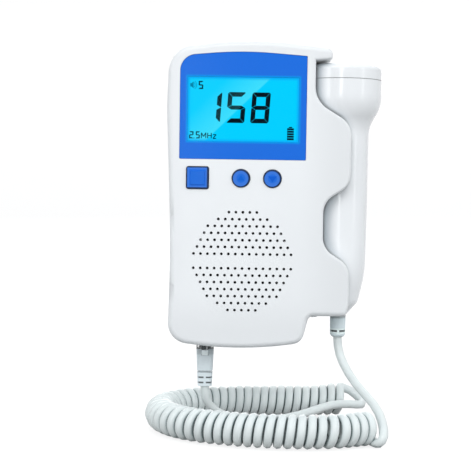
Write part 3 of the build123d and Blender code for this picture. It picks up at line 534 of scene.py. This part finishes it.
def circuit_board(name, color):
    """Green solder mask over tracks, with tinned pads in a loose grid."""
    shader = Shader(name)
    inputs = {"Vector": shader.place, "Scale": 330.0, "Randomness": 0.75}
    cells = shader.node("ShaderNodeTexVoronoi", inputs, distance="CHEBYCHEV")
    tracks = shader.ramp(cells.outputs["Distance"], *TRACK_EDGE)
    pads = shader.within(cells.outputs["Distance"], PAD_RADIUS, 0.02)
    mask = shader.mix(tracks, shade(color, 1.5), shade(color, 0.8))
    shader.set(Base_Color=shader.mix(pads, mask, TIN), Metallic=pads, Roughness=0.35)
    shader.bump(tracks, 0.04)
    return shader.material


def battery_jacket(name, color):
    """Plain cell jacket: dark below and copper above."""
    shader = Shader(name)
    print_grain = shader.noise(waves=700.0, detail=3.0, stretch=PRINTED)
    dark = shader.mix(print_grain, shade(color, 0.8), shade(color, 1.3))
    upper = shader.ramp(shader.axis(Z), *COPPER_RISE)
    shader.set(Base_Color=shader.mix(upper, dark, COPPER), Metallic=0.55, Roughness=0.32)
    shader.bump(print_grain, 0.01)
    return shader.material


# ======== Panel and display
# The glare is a painted reflection on the display window.
GLARE_TOP_X, GLARE_BOTTOM_X = 11.6, -16.9    # where the glare's straight edge meets the window's edges
GLARE_SET_IN = (-0.2, 0.5)       # distances behind that edge over which it sets in
GLARE_WIDTH = 13.0               # distance over which it fades
GLARE_REST = 0.08                # to this share
GLARE_CYAN = (0.045, 0.72, 0.97)
RIM_BLUE = (0.005, 0.36, 0.9)    # the lit display's rim
UNLIT = (0.0, 0.01, 0.02)        # the display's own colour, without its light
PRINT_EDGE_BLUE = (0.0, 0.33, 0.85)      # the panel's print beside the window
CLEAR_CYAN = (0.12, 0.85, 1.0)
CLEAR_ALPHA = (0.003, 0.036)     # of the window, without glare and at its strongest


def glare_share(shader):
    """Painted glare: a diagonal reflection on the window's upper left, strongest along its straight edge."""
    bottom, top = WINDOW[1], WINDOW[3]
    along = Vector((GLARE_TOP_X - GLARE_BOTTOM_X, top - bottom)).normalized()
    x = shader.maths("SUBTRACT", shader.axis(X), GLARE_BOTTOM_X)
    z = shader.maths("SUBTRACT", shader.axis(Z), bottom)
    behind = shader.maths("SUBTRACT", shader.maths("MULTIPLY", z, along.x),
                          shader.maths("MULTIPLY", x, along.y))
    edge = shader.ramp(behind, *GLARE_SET_IN, smooth=True)
    fade = shader.ramp(behind, 0.0, GLARE_WIDTH, 1.0, GLARE_REST)
    return shader.maths("MULTIPLY", edge, fade)


def panel(name, color):
    """Glossy sheet printed blue from behind, fading over the display's edge, and clear inside it."""
    shader = Shader(name)
    clear = box_share(shader, WINDOW, border=0.22, softness=0.22)
    near = box_share(shader, WINDOW, border=0.3, softness=1.4)
    inner = box_share(shader, WINDOW, border=1.4, softness=0.8)
    flecks = shader.noise(waves=2600.0)
    blue = shader.mix(flecks, shade(color, 0.95), shade(color, 1.05))
    blue = shader.mix(near, blue, PRINT_EDGE_BLUE)
    # The window is a little less clear under the painted glare.
    see_through = shader.ramp(glare_share(shader), 0.0, 1.0, *CLEAR_ALPHA)
    alpha = shader.maths("MULTIPLY_ADD", clear, shader.maths("SUBTRACT", see_through, 1.0), 1.0)
    shader.set(Base_Color=shader.mix(inner, blue, CLEAR_CYAN), Alpha=alpha, Specular_IOR_Level=0.03,
               Roughness=shader.uneven(shader.noise(waves=60.0), 0.1, 0.16))
    shader.bump(shader.noise(waves=70.0), 0.01)
    return shader.material


def lit_display(name, color):
    """Lit display: cyan with a soft darker rim, paler under the painted glare on its window."""
    shader = Shader(name)
    middle = box_share(shader, WINDOW, border=1.7, softness=2.0)
    lit = shader.mix(shader.noise(waves=120.0, detail=1.0), shade(color, 0.98), shade(color, 1.01))
    lit = shader.mix(glare_share(shader), lit, GLARE_CYAN)
    shader.set(Base_Color=UNLIT, Roughness=0.3, Emission_Color=shader.mix(middle, RIM_BLUE, lit),
               Emission_Strength=1.0, Specular_IOR_Level=0.01)
    shader.bump(shader.noise(waves=500.0), 0.004)
    return shader.material


def ink(name, color):
    """Switched liquid crystal: a dark ink with a faint unevenness."""
    shader = Shader(name)
    shader.set(Base_Color=shader.mix(shader.noise(waves=300.0), shade(color, 0.8), shade(color, 1.3)),
               Roughness=0.5, Specular_IOR_Level=0.02)
    return shader.material


# ======== Keys and clear plug
PLUG_HALF_WIDTH = 3.82
PLUG_EDGE = (0.45, 0.2)          # the plug's side edges darken between these distances from the side
CHANNEL_HALF_WIDTH = 2.7         # the plug's contact channels, and the ribs between them
CHANNEL_RIBS = (-17.8, -14.95)
RIB_EDGE = (0.12, 0.35)          # the channels' dark rises between these distances from a rib's middle
LATCH_TAB_TOP = -68.7            # the plug is frosted below this height
FROSTED = (0.9, 0.98, 1.0)
PLUG_EDGE_GREY = (0.12, 0.14, 0.15)
CHANNEL_GREY = (0.03, 0.045, 0.05)


def key_cap(name, color, share, place, face_size, rim_size, rim_shift):
    """Satin key: a deeper blue face, a paler border and a painted shade along its edge, set off to one side.

    share is square_share or disc_share; the sizes are half widths or radii.
    """
    shader = Shader(name)
    shade_place = (place[0] + rim_shift[0], place[1] + rim_shift[1])
    border = shader.mix(shader.noise(waves=300.0), shade(color, 1.0, 0.98, 0.86),
                        shade(color, 1.3, 1.04, 0.9))
    face = shader.mix(shader.noise(waves=40.0), shade(color, 0.0, 0.78, 0.84), shade(color, 0.1, 0.88, 0.92))
    skin = shader.mix(share(shader, place, face_size, softness=0.6), border, face)
    # Painted shade in the gap round the key, thicker on the side away from the light.
    edge = shade(color, 0.2, 0.16, 0.13)
    skin = shader.mix(share(shader, shade_place, rim_size, softness=0.3), edge, skin)
    shader.set(Base_Color=skin, Specular_IOR_Level=0.2,
               Roughness=shader.uneven(shader.noise(waves=90.0), 0.32, 0.42))
    shader.bump(shader.noise(waves=1500.0, detail=3.0), 0.01)
    return shader.material


def clear_plastic(name, color):
    """Clear plug: dark side edges, the contacts' dark channels above, and a frosted latch tab below."""
    shader = Shader(name)
    across = shader.away(X, PLUG_MIDDLE[X])
    edge = shader.ramp(across, PLUG_HALF_WIDTH - PLUG_EDGE[0], PLUG_HALF_WIDTH - PLUG_EDGE[1])
    channels = shader.ramp(across, CHANNEL_HALF_WIDTH, CHANNEL_HALF_WIDTH - 0.2)
    for rib in CHANNEL_RIBS:
        beside = shader.ramp(shader.away(X, rib), *RIB_EDGE)
        channels = shader.maths("MULTIPLY", channels, beside)
    above = shader.ramp(shader.axis(Z), LATCH_TAB_TOP - 0.15, LATCH_TAB_TOP + 0.15)
    channels = shader.maths("MULTIPLY", channels, above)
    body = shader.mix(above, FROSTED, shade(color, 0.96))
    tint = shader.mix(channels, shader.mix(edge, body, PLUG_EDGE_GREY), CHANNEL_GREY)
    solid = shader.maths("MAXIMUM", shader.maths("MAXIMUM", edge, channels),
                         shader.maths("SUBTRACT", 1.0, above))
    shader.set(Base_Color=tint, Alpha=shader.ramp(solid, 0.0, 1.0, 0.3, 0.92),
               Roughness=shader.uneven(shader.noise(waves=300.0), 0.08, 0.2))
    shader.bump(shader.noise(waves=800.0), 0.01)
    return shader.material


# ======== Finish of each material slot
COOL = (1.0, 1.005, 1.02)        # the whites lean slightly to blue
PLAIN = (1.0, 1.0, 1.0)
PALE_GREY = (1.74, 1.62, 1.57)
SLEEVE_GREY = (1.75, 1.68, 1.62)
ROUND_KEY = {"share": disc_share, "face_size": 1.6, "rim_size": 3.15, "rim_shift": (-0.15, -0.12)}

# Maker, factors on the record's colour, and the maker's settings
FINISHES = {
    "casing": (moulded, COOL, {"roughness": 0.34, "tone": casing_painted_shade}),
    "probe_white": (moulded, COOL, {"roughness": 0.16, "grain_depth": 0.005, "drift": 0.015,
                                    "tone": probe_painted_shade}),
    "panel_blue": (panel, (0.65, 0.94, 0.94), {}),
    "key_blue": (key_cap, PLAIN, {"share": square_share, "place": POWER_KEY, "face_size": 2.7,
                                  "rim_size": 3.75, "rim_shift": (-0.2, 0.1)}),
    "lcd": (lit_display, PLAIN, {}),
    "light_guide": (moulded, PLAIN, {"roughness": 0.5}),
    "black_plastic": (moulded, PLAIN, {"roughness": 0.45, "grain_depth": 0.02}),
    "circuit_board": (circuit_board, PLAIN, {}),
    "speaker_paper": (rubber, PLAIN, {"roughness": 0.85, "grain_depth": 0.06}),
    "gasket_foam": (rubber, PLAIN, {"roughness": 0.9, "grain_depth": 0.1}),
    "magnet": (moulded, PLAIN, {"roughness": 0.6, "grain_depth": 0.05, "drift": 0.1}),
    "steel": (metal, PLAIN, {}),
    "spring_metal": (metal, PLAIN, {"roughness": 0.22}),
    "cell_jacket": (battery_jacket, PLAIN, {}),
    "gold": (metal, PLAIN, {"roughness": 0.2}),
    "clear_plastic": (clear_plastic, PLAIN, {}),
    "wire_insulation": (rubber, PLAIN, {"roughness": 0.45}),
    "grey_rubber": (rubber, PALE_GREY, {"roughness": 0.5, "grain_depth": 0.03, "tone": boot_painted_shade}),
    "crystal": (metal, PLAIN, {"roughness": 0.35}),
    "backing_rubber": (rubber, PLAIN, {"roughness": 0.7, "grain_depth": 0.05}),
    "cord_jacket": (rubber, (0.93, 0.98, 0.97), {"roughness": 0.34, "grain_depth": 0.008,
                                                 "tone": cord_painted_shade}),
}
materials = {slot: make(slot, shade(slot_colors[slot], *factors), **settings)
             for slot, (make, factors, settings) in FINISHES.items()}
node_materials = {
    "up_key": key_cap("up_key", slot_colors["key_blue"], place=UP_KEY, **ROUND_KEY),
    "down_key": key_cap("down_key", slot_colors["key_blue"], place=DOWN_KEY, **ROUND_KEY),
    "probe_strain_relief": rubber("sleeve_rubber", shade(slot_colors["grey_rubber"], *SLEEVE_GREY),
                                  roughness=0.5, grain_depth=0.03, tone=sleeve_painted_light),
}
for entry in frame["record"]["subparts"]:
    mesh = nodes[entry["node"]].data
    mesh.materials.clear()
    mesh.materials.append(node_materials.get(entry["node"], materials[entry["material_slot"]]))
cord.data.materials.append(materials["cord_jacket"])


# ======== Flat shapes for the display's signs and the keys' triangles
def prism(name, outlines, front, depth, material, body):
    """One piece of flat shapes given by their (x, z) outlines, with a thickness behind the front."""
    vertices, faces = [], []
    for outline in outlines:
        base = len(vertices)
        count = len(outline)
        vertices += [metres((x, front, z)) for x, z in outline]
        vertices += [metres((x, front + depth, z)) for x, z in outline]
        faces.append([base + i for i in range(count)])
        faces.append([base + count + i for i in reversed(range(count))])
        faces += [[base + i, base + count + i, base + count + (i + 1) % count, base + (i + 1) % count]
                  for i in range(count)]
    mesh = bpy.data.meshes.new(name)
    mesh.from_pydata(vertices, [], faces)
    mesh.validate()
    mesh.materials.append(material)
    piece = bpy.data.objects.new(name, mesh)
    bpy.context.collection.objects.link(piece)
    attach(piece, body)


ARC_STEPS = 8
DIGITS = {
    "1": ("upper_right", "lower_right"),
    "2": ("top", "upper_right", "middle", "lower_left", "bottom"),
    "5": ("top", "upper_left", "middle", "lower_right", "bottom"),
    "8": ("top", "upper_left", "upper_right", "middle", "lower_left", "lower_right", "bottom"),
}


def bar_outline(bar, size, gap):
    """Outline of one bar of a digit, with the mitred ends at which the bars meet."""
    width, height, thickness = size
    middle, cut, notch = height / 2, 0.3 * thickness, 0.1 * thickness
    if bar == "middle":
        half = 0.45 * thickness
        tip, shoulder = notch + 2 * gap, notch + 2 * gap + 0.8 * thickness
        return [(tip, middle), (shoulder, middle + half), (width - shoulder, middle + half),
                (width - tip, middle), (width - shoulder, middle - half), (shoulder, middle - half)]
    if bar in ("top", "bottom"):
        outline = [(cut / 2 + gap, height - cut / 2), (cut + gap / 2, height),
                   (width - cut - gap / 2, height), (width - cut / 2 - gap, height - cut / 2),
                   (width - thickness - gap, height - thickness), (thickness + gap, height - thickness)]
    else:
        outline = [(notch, middle + gap), (0.0, middle + 2 * notch + gap),
                   (0.0, height - cut - gap / 2), (cut / 2, height - cut / 2 - gap),
                   (thickness, height - thickness - gap), (thickness, middle + thickness / 2 + gap)]
    if bar in ("bottom", "lower_left", "lower_right"):
        outline = [(x, height - z) for x, z in outline]
    if bar.endswith("right"):
        outline = [(width - x, z) for x, z in outline]
    return outline


def digit(value, place, size, slant, gap=0.0):
    """Outlines of a seven-segment digit whose lower left corner is at place.

    size is its width, its height and its bars' thickness.
    """
    return [[(place[0] + across + rise * slant, place[1] + rise)
             for across, rise in bar_outline(bar, size, gap)]
            for bar in DIGITS[value]]


def rectangle(left, bottom, right, top):
    return [(left, bottom), (right, bottom), (right, top), (left, top)]


def arc_strip(middle, radius, thickness, spread):
    """Outline of a thin arc that opens to the left, to this many degrees above and below level."""
    x, z = middle
    angles = [math.radians(-spread + 2 * spread * i / ARC_STEPS) for i in range(ARC_STEPS + 1)]
    outer = [(x + radius * math.cos(a), z + radius * math.sin(a)) for a in angles]
    inner = [(x + (radius - thickness) * math.cos(a), z + (radius - thickness) * math.sin(a))
             for a in reversed(angles)]
    return outer + inner


def stroke(start, end, thickness):
    """Outline of a straight stroke between two points."""
    along = (Vector(end) - Vector(start)).normalized() * thickness / 2
    side = Vector((-along.y, along.x))
    corners = (Vector(start) - side, Vector(end) - side, Vector(end) + side, Vector(start) + side)
    return [tuple(corner) for corner in corners]


def triangle(middle, half_width, height, direction):
    """Outline of a triangle about a point, which points up (1) or down (-1)."""
    x, z = middle
    base = z - direction * height * 0.4
    return [(x - half_width, base), (x + half_width, base), (x, base + direction * height)]


# ======== Signs on the display
DISPLAY_DEPTH = 0.05
DISPLAY_FRONT = GLASS_Y - DISPLAY_DEPTH
dark_ink = ink("display_ink", (0.0, 0.003, 0.008))
small_ink = ink("display_small_ink", (0.0, 0.04, 0.07))
faint_ink = ink("display_faint_ink", (0.0, 0.25, 0.42))


def display_mark(name, outlines, material=dark_ink):
    prism(name, outlines, DISPLAY_FRONT, DISPLAY_DEPTH, material, "monitor")


# ---- Heart rate; sizes of digits are their width, height and bars' thickness
RATE_PLACE, RATE_SPACING = (2.5, 31.05), 10.43
RATE_SIZE, RATE_SLANT, RATE_GAP = (7.9, 13.2, 1.95), 0.068, 0.06
rate = []
for column, value in enumerate(reversed("158")):
    place = (RATE_PLACE[0] - column * RATE_SPACING, RATE_PLACE[1])
    rate += digit(value, place, RATE_SIZE, RATE_SLANT, RATE_GAP)
display_mark("display_rate", rate)

# ---- Loudness
LEVEL_PLACE, LEVEL_SIZE, LEVEL_SLANT = (-19.9, 45.35), (2.05, 3.5, 0.62), 0.03
display_mark("display_level", digit("5", LEVEL_PLACE, LEVEL_SIZE, LEVEL_SLANT), small_ink)

HORN = [(-23.4, 46.4), (-22.8, 46.4), (-22.0, 45.6), (-22.0, 48.6), (-22.8, 47.8), (-23.4, 47.8)]
WAVE_MIDDLE, WAVE_RADII, WAVE_THICKNESS, WAVE_SPREAD = (-22.6, 47.1), (1.4, 2.1), 0.25, 55
waves = [arc_strip(WAVE_MIDDLE, radius, WAVE_THICKNESS, WAVE_SPREAD) for radius in WAVE_RADII]
display_mark("display_speaker", [HORN] + waves, faint_ink)

# ---- Battery: a stack of bars under a tapered cap
BATTERY_LEFT, BATTERY_RIGHT, BATTERY_BOTTOM = 18.5, 21.4, 24.0
BATTERY_BARS, BATTERY_PITCH, BATTERY_BAR = 5, 1.06, 0.84
CAP_SINK, CAP_HEIGHT = 0.1, 0.5
CAP_INSET, CAP_TOP_INSET = 0.6, 0.9
battery = [rectangle(BATTERY_LEFT, BATTERY_BOTTOM + BATTERY_PITCH * i,
                     BATTERY_RIGHT, BATTERY_BOTTOM + BATTERY_PITCH * i + BATTERY_BAR)
           for i in range(BATTERY_BARS)]
cap_bottom = BATTERY_BOTTOM + BATTERY_BARS * BATTERY_PITCH - CAP_SINK
battery.append([(BATTERY_LEFT + CAP_INSET, cap_bottom), (BATTERY_RIGHT - CAP_INSET, cap_bottom),
                (BATTERY_RIGHT - CAP_TOP_INSET, cap_bottom + CAP_HEIGHT),
                (BATTERY_LEFT + CAP_TOP_INSET, cap_bottom + CAP_HEIGHT)])
display_mark("display_battery", battery)

# ---- Frequency: two digits with a point between them
FREQUENCY_Z = 24.15
FREQUENCY_DIGITS = (("2", -23.7), ("5", -20.9))
FREQUENCY_SIZE, FREQUENCY_SLANT = (1.85, 3.1, 0.55), 0.05
POINT_X, POINT_SIZE = -21.75, 0.4
frequency = []
for value, x in FREQUENCY_DIGITS:
    frequency += digit(value, (x, FREQUENCY_Z), FREQUENCY_SIZE, FREQUENCY_SLANT)
frequency.append(rectangle(POINT_X, FREQUENCY_Z, POINT_X + POINT_SIZE, FREQUENCY_Z + POINT_SIZE))
display_mark("display_frequency", frequency, small_ink)

# ---- Its unit, as letters of straight strokes on cells one wide and one high
LETTERS = {
    "M": [(0, 0, 0, 1), (0, 1, 0.5, 0.3), (0.5, 0.3, 1, 1), (1, 1, 1, 0)],
    "H": [(0, 0, 0, 1), (0, 0.5, 1, 0.5), (1, 1, 1, 0)],
    "z": [(0, 0.68, 1, 0.68), (1, 0.68, 0, 0), (0, 0, 1, 0)],
}
UNIT = (("M", -18.35, 1.9), ("H", -15.65, 1.55), ("z", -13.35, 1.3))     # letter, left side and width
UNIT_Z, UNIT_HEIGHT, UNIT_STROKE = FREQUENCY_Z + 0.15, 2.35, 0.42
unit = [stroke((left + x0 * width, UNIT_Z + z0 * UNIT_HEIGHT),
               (left + x1 * width, UNIT_Z + z1 * UNIT_HEIGHT), UNIT_STROKE)
        for letter, left, width in UNIT for x0, z0, x1, z1 in LETTERS[letter]]
display_mark("display_unit", unit, small_ink)

# ======== Triangles on the round keys
KEY_MARK_DEPTH = 0.08
# Key, its middle, half width and height of the triangle, its direction, factors on the keys' blue
KEY_MARKS = (
    ("up_key", UP_KEY, 1.5, 2.2, 1, (0.0, 0.72, 0.82)),
    ("down_key", DOWN_KEY, 1.9, 2.5, -1, (0.0, 0.62, 0.8)),
)
for key, middle, half_width, height, direction, factors in KEY_MARKS:
    name = f"{key}_mark"
    paint = moulded(name, shade(slot_colors["key_blue"], *factors), roughness=0.4, grain_depth=0.01,
                    drift=0.04, Specular_IOR_Level=0.1)
    prism(name, [triangle(middle, half_width, height, direction)], KEY_FRONT_Y - KEY_MARK_DEPTH,
          KEY_MARK_DEPTH, paint, key)

# ======== Floor, backdrop and light, in metres and watts
STAGE_HALF_WIDTH = 4.0
STAGE_NEAR, STAGE_FAR = -2.0, 2.6
STAGE_HEIGHT = 3.0
STAGE_BEND = 0.8                 # radius of the bend from floor to backdrop
STAGE_GAP = 0.0001               # between the floor and the cord
STAGE_GLOW = 0.82                # what the floor and backdrop show by themselves; lamplight adds the rest
STAGE_COLOR = (0.26, 0.26, 0.26)
WORLD_STRENGTH = 0.72
WORLD_TINT = (0.95, 0.98, 1.0)
WHITE = (1.0, 1.0, 1.0)


def seen_directly(tree):
    """1 for rays from the camera, off gloss and through glass, 0 for light on dull surfaces."""
    paths = add_node(tree, "ShaderNodeLightPath")
    seen = paths.outputs["Is Camera Ray"]
    for ray in ("Is Glossy Ray", "Is Transmission Ray"):
        either = add_node(tree, "ShaderNodeMath", {0: seen, 1: paths.outputs[ray]}, operation="MAXIMUM")
        seen = either.outputs[0]
    return seen


def stage_material():
    """Pale paper that glows where it is seen directly, and keeps the object's shadow."""
    material = bpy.data.materials.new("stage")
    material.use_nodes = True
    tree = material.node_tree
    tree.nodes.clear()
    inputs = {0: seen_directly(tree), 1: STAGE_GLOW}
    strength = add_node(tree, "ShaderNodeMath", inputs, operation="MULTIPLY")
    glow = add_node(tree, "ShaderNodeEmission", {"Strength": strength.outputs[0]})
    diffuse = add_node(tree, "ShaderNodeBsdfDiffuse", {"Color": opaque(STAGE_COLOR)})
    both = add_node(tree, "ShaderNodeAddShader", {0: glow.outputs[0], 1: diffuse.outputs[0]})
    add_node(tree, "ShaderNodeOutputMaterial", {"Surface": both.outputs[0]})
    return material


def add_stage():
    """Pale floor that curves up into a backdrop far behind."""
    floor_z = FLOOR_Z * MM - STAGE_GAP
    bend_y, bend_z = STAGE_FAR - STAGE_BEND, floor_z + STAGE_BEND
    profile = [(STAGE_NEAR, floor_z), (bend_y, floor_z)]
    profile += [(bend_y + STAGE_BEND * math.sin(a), bend_z - STAGE_BEND * math.cos(a))
                for a in (math.radians(10 * i) for i in range(1, 10))]
    profile.append((STAGE_FAR, floor_z + STAGE_HEIGHT))
    vertices = [(x, y, z) for y, z in profile for x in (-STAGE_HALF_WIDTH, STAGE_HALF_WIDTH)]
    faces = [(2 * i, 2 * i + 1, 2 * i + 3, 2 * i + 2) for i in range(len(profile) - 1)]
    mesh = bpy.data.meshes.new("stage")
    mesh.from_pydata(vertices, [], faces)
    for polygon in mesh.polygons:
        polygon.use_smooth = True
    mesh.materials.append(stage_material())
    stage = bpy.data.objects.new("stage", mesh)
    bpy.context.collection.objects.link(stage)


def add_lamp(name, place, size, power, target=(0.0, -0.02, 0.0), glossy=True):
    """Rectangular soft lamp that faces the object; one that isn't glossy leaves no highlight."""
    data = bpy.data.lights.new(name, "AREA")
    data.shape = "RECTANGLE"
    data.size, data.size_y = size
    data.energy = power
    lamp = bpy.data.objects.new(name, data)
    lamp.location = place
    lamp.visible_glossy = glossy
    lamp.rotation_euler = (Vector(target) - Vector(place)).to_track_quat("-Z", "Y").to_euler()
    bpy.context.collection.objects.link(lamp)


def add_world():
    """Even light from all round; seen directly, it is as white as the stage."""
    world = bpy.data.worlds.new("world")
    world.use_nodes = True
    tree = world.node_tree
    color = mix_colors(tree, seen_directly(tree), shade(WORLD_TINT, WORLD_STRENGTH), WHITE)
    tree.links.new(color, tree.nodes["Background"].inputs["Color"])
    bpy.context.scene.world = world


add_stage()
add_world()
add_lamp("key_lamp", (-0.3, -1.7, 1.3), (1.6, 1.0), 15.5)
add_lamp("right_lamp", (2.2, -0.5, 1.0), (2.2, 2.2), 15.0, glossy=False)
add_lamp("back_lamp", (-0.1, 1.6, 0.8), (1.4, 1.4), 15.0)
# The strips leave long highlights on the rounded edges of the casing and the probe.
add_lamp("front_strip", (-0.16, -1.6, 0.2), (0.22, 0.9), 3.4, target=(0.04, -0.035, 0.03))
add_lamp("left_strip", (-1.1, -1.16, 0.2), (0.34, 0.9), 3.2, target=(0.04, -0.035, 0.03))
add_lamp("right_strip", (1.4, -0.85, 0.2), (0.12, 1.0), 1.4, target=(0.04, -0.035, 0.0))
bpy.context.scene.view_settings.view_transform = "Standard"
